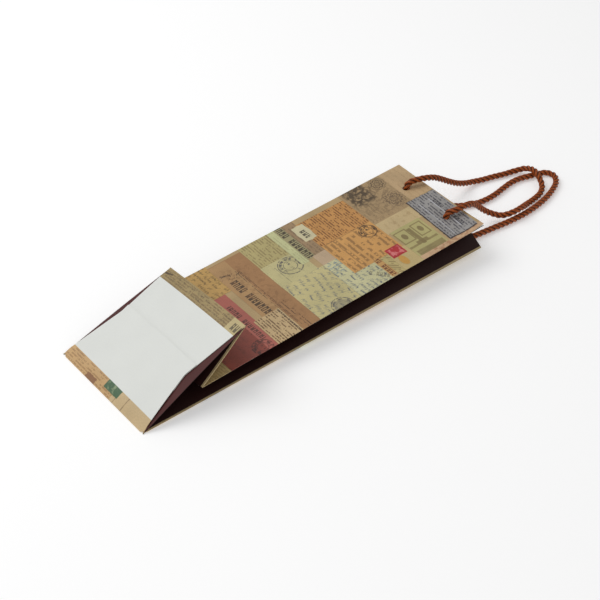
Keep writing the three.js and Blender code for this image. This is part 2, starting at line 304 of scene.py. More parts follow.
@pattern("pitch", "pen")
def script(t, x, y, pitch, pen):
    """Lines of handwriting, one wandering stroke to a row."""
    rows = t.math("DIVIDE", t.scaled(t.streak(x, 0.04), 2.5, y), pitch)
    row = t.floor(rows)
    height = t.product(t.math("SUBTRACT", t.math("FRACT", rows), 0.5), pitch)
    along = t.scaled(row, 71.3, t.scaled(height, -0.5, x))
    stroke = t.product(t.math("SUBTRACT", t.streak(along, 1.1), 0.5), t.product(pitch, 1.5))
    words = t.below(t.streak(along, 0.16, 0.0), 0.56, 0.03)
    return t.product(t.near(height, stroke, pen, 0.2), words)


@pattern("letter", "half_height")
def headline(t, x, y, letter, half_height):
    """A line of narrow bold blocks, each of two stems with a bar or two across."""
    cells = t.math("DIVIDE", x, letter)
    cell = t.floor(cells)
    part = t.math("ABSOLUTE", t.math("SUBTRACT", t.math("FRACT", cells), 0.5))
    level = t.floor(t.product(t.math("DIVIDE", y, half_height), 2.5))
    bar = t.math("GREATER_THAN", t.chance(cell, level), 0.62)
    shape = t.math("MAXIMUM", t.near(part, 0.24, 0.12, 0.03), t.product(bar, t.below(part, 0.36, 0.03)))
    word = t.math("GREATER_THAN", t.chance(cell, 7.0), 0.14)
    return t.product(shape, word, t.below(t.math("ABSOLUTE", y), half_height, 0.1))


def distance(t, x, y):
    return t.math("SQRT", t.scaled(x, x, t.product(y, y)))


@pattern("radius", "wear")
def ring(t, x, y, radius, wear):
    """A cancelling mark: two rings with marks between them, unevenly inked."""
    away = distance(t, x, y)
    outer = t.near(away, radius, 0.5, 0.25)
    inner = t.near(away, t.product(radius, 0.56), 0.32, 0.2)
    turn = t.floor(t.product(t.math("ARCTAN2", y, x), 4.5))
    band = t.near(away, t.product(radius, 0.78), t.product(radius, 0.11), 0.2)
    marks = t.product(band, t.math("GREATER_THAN", t.chance(turn, 3.0), 0.4))
    date = t.math("GREATER_THAN", t.chance(t.floor(x), 5.0), 0.35)
    heart = t.below(away, t.product(radius, 0.45), 0.1)
    middle = t.product(t.near(y, 0.0, 0.9, 0.1), date, heart)
    ink = t.math("MAXIMUM", t.math("MAXIMUM", outer, inner), t.math("MAXIMUM", marks, middle))
    return t.product(ink, t.math("SUBTRACT", 1.0, t.below(wear, 0.42, 0.1)))


@pattern("radius", "petals")
def rosette(t, x, y, radius, petals):
    """An engraved flower: rings of petals drawn in fine lines."""
    away = t.math("DIVIDE", distance(t, x, y), radius)
    half_turns = t.product(t.math("ARCTAN2", y, x), t.product(petals, 0.5))
    petal = t.math("ABSOLUTE", t.math("SINE", half_turns))
    shape = t.scaled(petal, -0.2, away)
    lines = t.near(t.math("FRACT", t.product(shape, 3.0)), 0.5, 0.24, 0.12)
    return t.product(lines, t.below(shape, 0.82, 0.04))


@pattern("half_x", "half_y", "width")
def outline(t, x, y, half_x, half_y, width):
    return t.near(past_box(t, x, y, half_x, half_y), 0.0, t.product(width, 0.5), 0.12)


@pattern("half_x", "half_y", "cover", "spots")
def smudge(t, x, y, half_x, half_y, cover, spots):
    """A soft dark drawing with no outline, like a much-used engraving."""
    dark = t.math("SUBTRACT", 1.0, t.below(spots, t.math("SUBTRACT", 1.06, cover), 0.06))
    over_x, over_y = t.math("DIVIDE", x, half_x), t.math("DIVIDE", y, half_y)
    reach = t.math("MAXIMUM", t.math("ABSOLUTE", over_x), t.math("ABSOLUTE", over_y))
    return t.product(dark, t.below(reach, 0.85, 0.15))


class Collage:
    """Pieces of old paper laid on each other. Places are millimetres on the printed sheet: x across it,
    and y along it from the front's lower fold towards the mouth."""

    def __init__(self, t, sheet, ground):
        self.t = t
        self.place = split(t, sheet)
        self.colour = ground
        self.tear = t.math("SUBTRACT", t.noise(sheet, 0.35, 4.0), 0.5)
        self.wear = t.noise(sheet, 0.4, 3.0)
        self.spots = t.noise(sheet, 0.22, 6.0)

    def paper(self, x0, x1, y0, y1, colour, turn=0.0, ragged=0.5, shape=box, shade=0.16):
        """Lays a piece of paper and remembers it as the one that is printed on next."""
        t = self.t
        self.here = t.placed(self.place, (x0 + x1) / 2, (y0 + y1) / 2, turn)
        half_x, half_y = (x1 - x0) / 2, (y1 - y0) / 2
        tear = t.product(self.tear, ragged)
        if shade:
            shadow = shape(t, t.placed(self.here, 0.25, -0.3), half_x + 0.35, half_y + 0.35, tear)
            self.colour = t.mix(t.product(shadow, shade), self.colour, rgb(60, 45, 30))
        self.mask = shape(t, self.here, half_x, half_y, tear)
        self.colour = t.mix(self.mask, self.colour, colour)
        return self

    def print(self, ink, colour, strength=0.8, x=0.0, y=0.0, turn=0.0, within=None):
        """Prints a pattern on the last piece, about a point (x, y) from its centre."""
        t = self.t
        place = t.placed(self.here, x, y, turn)
        share = t.product(ink(self, place), self.mask, strength)
        if within:
            share = t.product(share, box(t, place, *within, 0.0))
        self.colour = t.mix(share, self.colour, colour)
        return self


def split(t, sheet):
    return tuple(t.node("SeparateXYZ", {0: sheet}).outputs[:2])


INK = rgb(46, 36, 30)
SEPIA = rgb(104, 74, 46)
BLUE_INK = rgb(66, 82, 112)
GREY_INK = rgb(78, 76, 84)
OLIVE = rgb(140, 122, 78)


def inks(draw, *textures):
    """Makes inks for Collage.print from a pattern: its numbers are given when an ink is chosen, and the
    collage's own textures when it is printed."""
    def choose(*numbers):
        return lambda c, place: draw(c.t, place, *numbers, *(getattr(c, name) for name in textures))

    return choose


lines = inks(small_type)
hand = inks(script)
capitals = inks(headline)
postmark = inks(ring, "wear")
flower = inks(rosette)
border = inks(outline)
blob = inks(smudge, "spots")
block = inks(box, "tear")
egg = inks(oval, "tear")


def collage_colour(t, place):
    stains = t.noise(place, 0.035, 3.0)
    ground = t.mix(stains, rgb(196, 168, 122), rgb(178, 152, 108))
    c = Collage(t, place, ground)
    # Round the base: the fold's own strip, then the front's lower panel
    c.paper(-56, 56, -72, -48, rgb(168, 146, 98)).print(lines(2.3, 0.9), SEPIA, 0.5)
    c.print(hand(4.5, 0.5), INK, 0.5, y=-4.0)
    c.paper(-54, -45, -61, -59.4, rgb(88, 72, 50), turn=14, ragged=1.2, shade=0)
    c.paper(40, 57, -68, -55, rgb(200, 182, 132)).print(capitals(4.2, 3.4), INK, 0.75, within=(6.0, 3.4))
    c.paper(-56, 56, -48, -22, rgb(190, 168, 118)).print(lines(2.6, 1.0), SEPIA, 0.6)
    c.paper(-56, 56, -22, 27, rgb(186, 164, 112)).print(hand(5.0, 0.4), SEPIA, 0.55)
    c.print(lines(2.4, 0.8), SEPIA, 0.35, x=20.0, turn=3.0)
    # The rose postcard, the scrap of handwriting and the brown wrapper
    c.paper(-32, 57, 27, 74.6, rgb(146, 72, 58)).print(hand(9.0, 0.5), INK, 0.6, turn=2.0)
    c.print(block(60, 5.5), rgb(182, 104, 90), 0.9, y=18.3)
    c.print(capitals(3.6, 2.3), INK, 0.75, x=7.5, y=17.0, within=(23.5, 2.6))
    c.print(postmark(8.4), INK, 0.75, x=37.5, y=10.5)
    c.print(postmark(7.6), rgb(96, 48, 44), 0.4, x=37.5, y=10.5)
    c.paper(-56, -17.5, 56, 81.6, rgb(197, 158, 92), ragged=1.0).print(hand(4.6, 0.55), INK, 0.75)
    c.paper(-51.5, 57, 81.4, 115, rgb(170, 127, 84))
    c.print(block(38, 8.4), rgb(184, 146, 99), 0.9, x=-15.5, y=-8.3)
    c.print(capitals(4.1, 3.7), INK, 0.85, x=-4.0, y=-9.4, within=(24.5, 3.9))
    c.print(hand(6.0, 0.8), INK, 0.85, x=-34.0, y=-6.5, turn=72.0, within=(9.5, 3.6))
    c.print(lines(2.6, 0.9), INK, 0.7, x=3.0, y=0.2, within=(40.0, 1.3))
    c.print(block(42, 0.22), INK, 0.7, x=5.0, y=2.2)
    c.print(lines(3.4, 1.0), INK, 0.65, x=32.0, y=6.4, within=(20.0, 1.7))
    c.print(blob(50, 15, 0.5), rgb(136, 98, 62), 0.4)
    c.paper(23.5, 57, 72.5, 97.6, rgb(206, 178, 132)).print(lines(2.35, 0.8), SEPIA, 0.85)
    c.print(capitals(2.4, 1.0), INK, 0.8, y=10.6, within=(16.0, 1.0))
    # Ruled letters with their postmarks
    c.paper(-57, -20, 115, 146, rgb(188, 174, 118)).print(lines(2.5, 1.6), SEPIA, 0.45)
    c.paper(-23, 8, 114.6, 152, rgb(200, 190, 138)).print(hand(6.5, 0.3), GREY_INK, 0.3)
    c.print(postmark(10.6), GREY_INK, 0.85, x=-3.3, y=3.4)
    c.print(block(12.0, 0.25), GREY_INK, 0.6, x=3.0, y=-8.6)
    c.paper(6.5, 57, 114.8, 158, rgb(204, 192, 138)).print(hand(6.4, 0.55), BLUE_INK, 0.85, turn=-14.0)
    c.print(postmark(9.4), GREY_INK, 0.85, x=22.5, y=2.4)
    c.print(egg(7.4, 7.4), rgb(150, 142, 118), 0.6, x=22.5, y=2.4)
    c.paper(-57, -5, 145, 152.6, rgb(204, 204, 152)).print(lines(2.5, 1.2), SEPIA, 0.2)
    c.paper(-57, -6.8, 152.4, 160.6, rgb(170, 160, 118))
    c.print(capitals(4.3, 3.2), INK, 0.85, within=(24.0, 3.3))
    c.paper(-57, -6.8, 160.4, 172, rgb(166, 138, 104)).print(lines(3.6, 1.4), INK, 0.3)
    c.paper(-8, 8, 157.6, 172, rgb(198, 172, 140), shade=0.08)
    # The blue letter, the orange letter and its stamp
    c.paper(6.8, 57, 157.4, 192.6, rgb(206, 201, 156)).print(hand(4.7, 0.6), BLUE_INK, 0.85)
    c.print(hand(3.6, 0.5), rgb(88, 132, 158), 0.7, x=-17.0, turn=90.0, within=(16.0, 7.5))
    c.print(capitals(3.0, 2.6), rgb(104, 94, 78), 0.6, x=13.0, y=11.0, turn=40.0, within=(9.0, 2.6))
    c.paper(-48.4, -11.6, 171, 224, rgb(205, 149, 84)).print(lines(2.4, 1.3), rgb(112, 68, 34), 0.8)
    c.paper(-12, 31, 171.2, 223.6, rgb(214, 160, 92), shade=0.1).print(lines(5.2, 1.6), SEPIA, 0.55)
    c.print(block(0.25, 24.0), SEPIA, 0.6, x=-21.0)
    c.print(block(19.0, 0.3), SEPIA, 0.6, x=-2.5, y=-14.8)
    c.print(postmark(7.8), INK, 0.9, x=-12.3, y=16.6)
    c.paper(29, 54, 192, 198.4, rgb(204, 158, 96), shade=0.1)
    c.print(capitals(3.3, 2.4), rgb(112, 66, 40), 0.9, within=(12.0, 2.5))
    c.paper(31, 56, 198.2, 206.6, rgb(196, 178, 120), shade=0.1)
    c.print(lines(2.3, 2.1), rgb(120, 92, 58), 0.7, turn=48.0)
    c.paper(31, 57, 206, 226, rgb(200, 178, 124), shade=0.1)
    c.paper(38.5, 51, 209.5, 216.5, rgb(206, 156, 76), ragged=1.6, shape=oval)
    c.paper(25.8, 38.6, 207.4, 222.2, rgb(188, 46, 52), ragged=0.9)
    c.print(blob(6.2, 7.2, 0.52), rgb(232, 138, 136), 0.8).print(border(5.3, 6.3, 0.7), rgb(150, 28, 36), 0.7)
    c.paper(-47.4, -25, 164.6, 177.8, rgb(218, 208, 168), ragged=0.8, shape=oval, shade=0.1)
    c.paper(-46.6, -25.8, 165.2, 177.2, rgb(218, 208, 168), shade=0.0)
    c.print(capitals(4.2, 2.7), INK, 0.85, within=(7.0, 2.8))
    # Engravings
    c.paper(-57, -4.8, 223.8, 271, rgb(178, 150, 110)).print(lines(1.7, 2.4), SEPIA, 0.2)
    c.print(blob(25, 22, 0.5), rgb(120, 98, 70), 0.5)
    c.print(blob(16, 13, 0.58), rgb(76, 62, 44), 0.9, x=-15.0, y=-9.0)
    c.print(flower(13.0, 8.0), rgb(88, 72, 52), 0.6, x=-12.0, y=-7.0)
    c.print(flower(8.2, 9.0), rgb(82, 68, 50), 0.85, x=-15.5, y=14.0)
    c.print(flower(5.8, 7.0), rgb(96, 80, 58), 0.8, x=-21.0, y=-15.5)
    c.print(flower(11.0, 13.0), rgb(98, 80, 62), 0.75, x=9.0, y=12.5)
    c.print(hand(3.4, 0.5), rgb(112, 94, 66), 0.55, x=9.0, y=-12.0, within=(15.0, 11.0))
    c.paper(-5, 12.4, 223.8, 270, rgb(204, 180, 134), shade=0.08)
    c.print(blob(8, 20, 0.45), rgb(170, 140, 96), 0.5)
    # A green banknote
    c.paper(11.6, 53, 226, 258.4, rgb(186, 176, 118))
    c.print(border(8.0, 6.0, 1.2), OLIVE, 0.9, x=-9.0, y=-9.4)
    c.print(border(8.0, 5.2, 1.2), OLIVE, 0.9, x=-9.0, y=8.4)
    c.print(egg(3.8, 2.6), rgb(128, 110, 70), 0.85, x=-9.0, y=-9.4)
    c.print(egg(3.8, 2.4), rgb(128, 110, 70), 0.85, x=-9.0, y=8.4)
    c.print(block(11.5, 2.0), rgb(134, 116, 74), 0.85, x=-4.0, y=-0.6)
    c.print(block(2.4, 6.0), rgb(134, 116, 74), 0.85, x=4.2, y=-0.6)
    c.print(block(3.8, 14.4), rgb(150, 134, 88), 0.9, x=15.0)
    c.print(lines(1.5, 9.0), rgb(120, 102, 64), 0.5, x=15.0, turn=90.0, within=(14.0, 3.6))
    c.print(block(1.2, 5.6), OLIVE, 0.8, x=5.6, y=-10.6)
    c.print(block(1.2, 4.6), OLIVE, 0.8, x=5.6, y=10.0)
    # The newspaper cutting at the mouth, lying a little askew
    c.paper(50, 57, 226, 300, rgb(208, 172, 134), shade=0.0).print(blob(4, 30, 0.55), rgb(166, 112, 80), 0.6)
    c.paper(-57, -10, 270, 300, rgb(200, 170, 128), shade=0.05).print(hand(5.5, 0.35), rgb(150, 118, 84), 0.5)
    c.paper(-9.6, 50.6, 262.2, 292.6, rgb(58, 50, 52), turn=-2.6, ragged=1.6, shade=0.2)
    c.paper(-9.4, 49.4, 263.4, 293.4, rgb(160, 157, 154), turn=-2.6, ragged=1.4, shade=0.0)
    c.print(lines(2.9, 0.9), GREY_INK, 0.85).print(block(22.0, 0.5), rgb(196, 196, 200), 0.8, y=3.0)
    c.print(capitals(3.6, 1.9), rgb(60, 58, 66), 0.85, x=2.0, y=5.8, within=(20.0, 2.0))
    c.print(block(24.0, 0.4), rgb(196, 196, 200), 0.7, x=3.0, y=-8.2)
    # Along the back's base fold
    c.paper(-57, -8, 302, 320, rgb(208, 182, 138)).print(block(0.4, 9), SEPIA, 0.6, x=8.0)
    c.print(block(0.4, 9), SEPIA, 0.5, x=19.0)
    c.paper(-9, 57, 300, 320, rgb(208, 170, 118)).print(lines(2.3, 1.0), rgb(150, 108, 68), 0.6)
    c.paper(-15, 3, 307.6, 316, rgb(76, 106, 76), ragged=0.8)
    c.print(blob(8.6, 4.0, 0.5), rgb(150, 166, 128), 0.8)
    c.paper(12, 24, 303, 307.6, rgb(150, 108, 74), ragged=1.6)
    return c.colour


def sheet_place(t):
    """Where a point is on its own sheet, in millimetres."""
    return t.node("UVMap", uv_map="sheet").outputs[0]


def new_material(name):
    material = bpy.data.materials.new(name)
    material.use_nodes = True
    t = Tree(material.node_tree)
    return material, t, material.node_tree.nodes["Principled BSDF"]


def bump(t, shader, height, strength, distance):
    made = t.node("Bump", {"Height": height, "Strength": strength, "Distance": distance})
    t.put(shader.inputs["Normal"], made.outputs[0])


def paper_surface(t, shader, place, smoothness):
    """Fine grain, a slow waviness and a finish that is a little uneven."""
    grain = t.noise(place, 2.2, 4.0)
    waves = t.noise(place, 0.05, 2.0)
    height = t.math("ADD", t.product(grain, 0.12), t.product(waves, 1.2))
    bump(t, shader, height, 0.35, 0.0006)
    rough = t.ramp(t.noise(place, 0.09, 3.0), 0.0, 1.0, smoothness, smoothness + 0.12)
    t.put(shader.inputs["Roughness"], rough)


def aged(t, colour, place, amount):
    """The colour, a little darker and lighter in patches."""
    fine = t.noise(place, 0.9, 5.0)
    wide = t.noise(place, 0.045, 2.0)
    light = t.math("ADD", t.product(fine, 0.5), t.product(wide, 0.5))
    value = t.ramp(light, 0.3, 0.7, 1 - amount, 1 + amount / 2)
    return t.node("HueSaturation", {"Value": value, "Color": colour}).outputs[0]


def printed_material():
    material, t, shader = new_material("printed_paper")
    place = sheet_place(t)
    t.put(shader.inputs["Base Color"], aged(t, collage_colour(t, place), place, 0.16))
    paper_surface(t, shader, place, 0.46)
    return material


BACK_STRIP_END = 314.7  # where the printed strip along the back's base fold gives way to white
FRONT_STRIP_END = -66.7  # and the one along the front's


def base_material():
    material, t, shader = new_material("base_paper")
    place = sheet_place(t)
    _, y = split(t, place)
    white = aged(t, rgb(233, 235, 230), place, 0.03)
    front = t.below(t.product(y, -1.0), -FRONT_STRIP_END, 0.12)
    strips = t.product(t.below(y, BACK_STRIP_END, 0.12), front)
    collage = aged(t, collage_colour(t, place), place, 0.16)
    t.put(shader.inputs["Base Color"], t.mix(strips, white, collage))
    paper_surface(t, shader, place, 0.5)
    return material


def plain_paper(name, colour, smoothness, amount):
    material, t, shader = new_material(name)
    place = sheet_place(t)
    t.put(shader.inputs["Base Color"], aged(t, colour, place, amount))
    paper_surface(t, shader, place, smoothness)
    return material


def maroon_material(name, colour):
    """Plain dark print, with the collage's margin where x is under nought."""
    material, t, shader = new_material(name)
    place = sheet_place(t)
    x, _ = split(t, place)
    maroon = aged(t, colour, place, 0.14)
    margin = aged(t, rgb(186, 164, 122), place, 0.3)
    t.put(shader.inputs["Base Color"], t.mix(t.below(x, 0.0, 0.1), maroon, margin))
    paper_surface(t, shader, place, 0.5)
    shader.inputs["Specular IOR Level"].default_value = 0.25
    return material


def board_material():
    material, t, shader = new_material("grey_board")
    place = sheet_place(t)
    flecks = t.ramp(t.noise(place, 3.0, 5.0), 0.4, 0.7, 0.0, 1.0)
    t.put(shader.inputs["Base Color"], t.mix(flecks, rgb(188, 182, 168), rgb(150, 143, 130)))
    bump(t, shader, t.noise(place, 1.6, 5.0), 0.4, 0.0004)
    shader.inputs["Roughness"].default_value = 0.9
    return material


def rope_material():
    """Satin strands, with painted shade and highlight: the colour darkens towards the rope's heart, where the
    strands meet, and brightens on each ply's crown. The place's x is 1 on a strand's outer side and -1 at the
    rope's heart, and its y is millimetres along the rope."""
    material, t, shader = new_material("rope")
    place = sheet_place(t)
    x, y = split(t, place)
    ply = t.math("FRACT", t.scaled(x, 1.3, t.product(y, 0.45)))
    crown = t.math("SINE", t.product(ply, math.pi))
    fibres = t.streak(t.scaled(x, 14.0, t.product(y, 2.6)), 1.0, 3.0)
    height = t.scaled(crown, 0.5, t.product(fibres, 0.5))
    # Painted shade and highlight: dark towards the rope's heart, between the strands, and bright on the ply
    # crowns
    light = t.scaled(x, 0.62, t.product(height, 0.75))
    share = t.ramp(light, 0.3, 1.15, 0.0, 1.0)
    t.put(shader.inputs["Base Color"], t.mix(share, rgb(28, 9, 3), rgb(176, 84, 24)))
    bump(t, shader, height, 0.8, 0.0005)
    shader.inputs["Roughness"].default_value = 0.38
    shader.inputs["Specular IOR Level"].default_value = 0.3
    return material


PRINTED = printed_material()
BASE_PAPER = base_material()
WHITE = plain_paper("white_paper", rgb(228, 228, 220), 0.62, 0.04)
# Painted shade: the gussets, corner triangles and seam tab take a darkened copy of the maroon paper, for the
# shade inside the folds
SHADED_MAROON = maroon_material("maroon_paper", rgb(42, 17, 14))
# Painted light: the side flaps take a lighter copy of the same maroon paper, as they lie in the light
LIT_FLAP_MAROON = maroon_material("flap_maroon", rgb(84, 42, 40))
GREY_BOARD = board_material()
CORD = rope_material()


# Meshes

SHARP = math.radians(40)
PUNCH_DEPTH = 6 * MM


def mesh_object(name, vertices, faces, uvs, materials, indices):
    """uvs has one pair for each vertex, and indices one material for each face."""
    mesh = bpy.data.meshes.new(name)
    mesh.from_pydata([tuple(v) for v in vertices], [], faces)
    for material in materials:
        mesh.materials.append(material)
    layer = mesh.uv_layers.new(name="sheet")
    corners = np.zeros(len(mesh.loops), np.int32)
    mesh.loops.foreach_get("vertex_index", corners)
    layer.data.foreach_set("uv", np.array(uvs, np.float32)[corners].ravel())
    mesh.polygons.foreach_set("material_index", indices)
    mesh.polygons.foreach_set("use_smooth", [True] * len(faces))
    mesh.validate()
    return new_object(name, mesh)


def sharpen(made):
    """Marks the edges where a sheet's faces meet its rim."""
    work = bmesh.new()
    work.from_mesh(made.data)
    for edge in work.edges:
        edge.smooth = len(edge.link_faces) == 2 and edge.calc_face_angle(0) < SHARP
    work.to_mesh(made.data)
    work.free()


def paper_sheet(name, point, spread, columns, rows, thickness, materials, upright=1):
    """A sheet whose middle surface is point(t, s), and whose place on the printed sheet, in millimetres, is
    spread(t, s), for t and s from 0 to 1. Its outer face is on the side of d/dt x d/ds, times upright.
    The first material is the outer face's and the rim's, and the second the inner face's."""
    step = 1e-4
    middle, normals, uvs = [], [], []
    for s in (r / rows for r in range(rows + 1)):
        for t in (c / columns for c in range(columns + 1)):
            across = point(min(t + step, 1), s) - point(max(t - step, 0), s)
            along = point(t, min(s + step, 1)) - point(t, max(s - step, 0))
            middle.append(point(t, s))
            normals.append(across.cross(along).normalized() * upright)
            uvs.append(spread(t, s))
    outer = [p + n * thickness / 2 for p, n in zip(middle, normals)]
    inner = [p - n * thickness / 2 for p, n in zip(middle, normals)]
    count = len(middle)
    wide = columns + 1

    def quad(a, b, c, d):
        return (a, b, c, d) if upright > 0 else (d, c, b, a)

    faces, indices = [], []
    for r in range(rows):
        for c in range(columns):
            a = r * wide + c
            faces.append(quad(a, a + 1, a + wide + 1, a + wide))
            faces.append(quad(count + a + wide, count + a + wide + 1, count + a + 1, count + a))
            indices += [0, 1]
    loop = list(range(columns))
    loop += [r * wide + columns for r in range(rows)]
    loop += [rows * wide + c for c in range(columns, 0, -1)]
    loop += [r * wide for r in range(rows, 0, -1)]
    for a, b in zip(loop, loop[1:] + loop[:1]):
        faces.append(quad(a, count + a, count + b, b))
        indices.append(0)
    made = mesh_object(name, outer + inner, faces, uvs + uvs, materials, indices)
    sharpen(made)
    return made


def punch_tool(centre, axis, materials):
    work = bmesh.new()
    radii = {"radius1": HOLE_RADIUS, "radius2": HOLE_RADIUS}
    bmesh.ops.create_cone(work, cap_ends=True, segments=40, depth=PUNCH_DEPTH, **radii)
    mesh = bpy.data.meshes.new("punch")
    work.to_mesh(mesh)
    work.free()
    mesh.transform(axis.to_track_quat("Z", "Y").to_matrix().to_4x4())
    for material in materials:
        mesh.materials.append(material)
    tool = new_object("punch", mesh)
    tool.location = centre
    return tool


def punch(sheet, centres, axis):
    """Cuts the handle holes, which run along the axis."""
    for centre in centres:
        tool = punch_tool(centre, axis, sheet.data.materials)
        cut = sheet.modifiers.new("cut", "BOOLEAN")
        cut.object = tool
        cut.operation = "DIFFERENCE"
        cut.solver = "EXACT"
        bpy.context.view_layer.update()
        evaluated = sheet.evaluated_get(bpy.context.evaluated_depsgraph_get())
        result = bpy.data.meshes.new_from_object(evaluated)
        sheet.modifiers.clear()
        sheet.data = result
        bpy.data.objects.remove(tool)
    sharpen(sheet)


def finish_piece(piece, body, slot, *nodes):
    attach(piece, body)
    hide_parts(*nodes)


# Surfaces of the bag at rest. Each takes x across the bag and s along its own sheet, in metres.

FRONT_ALONG = bag(0, math.cos(FRONT_ANGLE), math.sin(FRONT_ANGLE)) - FOLD_A
FRONT_OUT = ACROSS.cross(FRONT_ALONG)
BASE_BELLY = 0.6 * MM
LOWER_BELLY = 0.5 * MM
FRONT_WAVE = 0.5 * MM
WAVES_PER_METRE = 22
CORNER_CURL = 1.2 * MM
MOUTH_SLIDE = 3.4 * MM  # the mouth's left corner is that much further along, as the base is twisted


def back_surface(x, s, off=0.0):
    return bag(x, s, off)


def base_surface(x, s, off=0.0):
    angle = lerp(BASE_ANGLE_LEFT, BASE_ANGLE_RIGHT, (x / HALF + 1) / 2)
    outwards = bag(0, -math.sin(angle), math.cos(angle)) - FOLD_A
    belly = BASE_BELLY * math.sin(math.pi * s / DEPTH)
    return bag(x, s * math.cos(angle), s * math.sin(angle)) + outwards * (off + belly)


def fold_c(x):
    return bag(x, C_ALONG, C_OUT)


def lower_surface(x, s, off=0.0):
    """s runs from fold B to fold C."""
    start, end = base_surface(x, DEPTH), fold_c(x)
    outwards = ACROSS.cross(end - start).normalized()
    belly = LOWER_BELLY * math.sin(math.pi * s / LOWER)
    return start.lerp(end, s / LOWER) + outwards * (off + belly)


def wave(x, s):
    """A slow, fixed unevenness, as paper has."""
    place = Vector((x * WAVES_PER_METRE, s * WAVES_PER_METRE, 3.0))
    return FRONT_WAVE * noise.noise(place) * smooth(s, 0, 0.2 * FRONT)


def curl(x, s):
    """How the mouth's right corner turns up, past a slight dip."""
    tip = smooth(s, 0.95 * FRONT, FRONT)
    dip = 0.6 * math.exp(-(((s - 0.93 * FRONT) / (9 * MM)) ** 2))
    return CORNER_CURL * smooth(x, 0.5 * HALF, HALF) * (tip - dip)


def front_surface(x, s, off=0.0):
    """s runs from fold C to the mouth."""
    slide = MOUTH_SLIDE * (1 - x / HALF) / 2 * s / FRONT
    return fold_c(x) + (s + slide) * FRONT_ALONG + (off + wave(x, s) + curl(x, s)) * FRONT_OUT


def bulge(across, y):
    """How far a gusset half has come to its centre crease, from 0 to 1: evenly near the base, and early
    near the mouth."""
    steep = math.sin(min(1.0, max(across, 0) / 0.5) * math.pi / 2)
    return lerp(across, steep, smooth(y, 0.3 * HEIGHT, 0.85 * HEIGHT))


def gusset_back(sign, across, y, inward=0.0):
    rise = CREASE_HEIGHT - 1.5 * LAYER
    out = PAPER + (rise + LAYER - PAPER) * bulge(across, y) - inward
    return bag(sign * (HALF - GUSSET * across), y, out)


def gusset_front(sign, across, y, inward=0.0):
    top = C_OUT + (y - C_ALONG) * math.tan(FRONT_ANGLE)
    drop = top - CREASE_HEIGHT - 1.5 * LAYER
    out = top - PAPER - (drop + LAYER - PAPER) * bulge(across, y) + inward
    return bag(sign * (HALF - GUSSET * across), y, out)


# Panels

CORNER = 3.5 * MM
BACK_START = 303  # millimetres on the printed sheet at the back's base fold
FRONT_HOLES = (-25.5 * MM, 27 * MM)
BACK_HOLES = (-27 * MM, 27 * MM)


def rounded(s, reach):
    """How far a corner of that radius takes the side edge in, at a distance s from the fold."""
    if s >= reach:
        return 0.0
    return reach - math.sqrt(max(0.0, reach ** 2 - (reach - s) ** 2))


def across_bag(t):
    return lerp(-HALF, HALF, t)


def flatten(piece):
    """Gives the piece a mesh of its own."""
    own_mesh(piece)


def add_back_panel():
    def point(t, s):
        y = s * HEIGHT
        edge = HALF - rounded(y, CORNER)
        return back_surface(lerp(-edge, edge, t), y)

    def spread(t, s):
        return (-across_bag(t) / MM, BACK_START - s * HEIGHT / MM)

    made = paper_sheet("back_panel_print", point, spread, 30, 90, PAPER, [PRINTED, WHITE], upright=-1)
    punch(made, [back_surface(x, HEIGHT - HOLE_TO_MOUTH) for x in BACK_HOLES], OUT)
    finish_piece(made, "back", "printed_paper", "back_panel")


def add_front_panel():
    def point(t, s):
        return front_surface(across_bag(t), s * FRONT)

    def spread(t, s):
        return (across_bag(t) / MM, s * FRONT / MM)

    made = paper_sheet("front_panel_print", point, spread, 34, 90, PAPER, [PRINTED, WHITE])
    punch(made, [front_surface(x, FRONT - HOLE_TO_MOUTH) for x in FRONT_HOLES], FRONT_OUT)
    finish_piece(made, "front", "printed_paper", "front_panel")


def add_lower_panel():
    def point(t, s):
        return lower_surface(across_bag(t), s * LOWER)

    def spread(t, s):
        return (across_bag(t) / MM, (s - 1) * LOWER / MM)

    made = paper_sheet("front_lower_print", point, spread, 24, 16, PAPER, [PRINTED, WHITE])
    finish_piece(made, "front_lower", "printed_paper", "front_lower_panel")
    flatten(made)


# Base

KINK = {"right": (52.5 * MM, 9 * MM), "left": (56 * MM, 5.5 * MM)}  # where the base's flaps are narrowest
BACK_FLAP_END = 0.58 * DEPTH
FRONT_FLAP_START = 0.35 * DEPTH
FLAP_RISE = 9 * MM
SIDE_FLAP = 42 * MM
BASE_BOARD_HALF = 47 * MM
BASE_BOARD_START = 6 * MM
BASE_BOARD_END = DEPTH - 15 * MM


def flap_edge(side, s):
    kink, inset = KINK[side]
    share = s / kink if s <= kink else (DEPTH - s) / (DEPTH - kink)
    return min(HALF - inset * share, HALF - rounded(s, CORNER))


def add_base_flap(name, node, start, end, layers, from_fold, spread_along):
    """A flap that lies so many layers out from the base's plane, but for where it leaves its fold."""
    def x_at(t, y):
        return lerp(-flap_edge("left", y), flap_edge("right", y), t)

    def point(t, s):
        y = lerp(start, end, s)
        off = layers * LAYER * smooth(from_fold(y), -MM, FLAP_RISE)
        return base_surface(x_at(t, y), y, off)

    def spread(t, s):
        y = lerp(start, end, s)
        x = x_at(t, y) / MM
        return (x if spread_along(y) < 0 else -x, spread_along(y))

    made = paper_sheet(name, point, spread, 30, 30, PAPER, [BASE_PAPER, WHITE])
    finish_piece(made, "base", "base_paper", node)
    flatten(made)


def add_base_side_flap(side, sign):
    def point(t, s):
        taper = lerp(24 * MM, 2 * MM, t)
        x = sign * lerp(HALF - SIDE_FLAP, HALF, t)
        return base_surface(x, lerp(taper, DEPTH - taper, s))

    def spread(t, s):
        return (10 + SIDE_FLAP / MM * t, 100 * s)

    name = f"base_side_flap_{side}"
    made = paper_sheet(f"{name}_paper", point, spread, 16, 24, PAPER, [LIT_FLAP_MAROON, WHITE], upright=sign)
    finish_piece(made, "base", "maroon_paper", name)
    flatten(made)


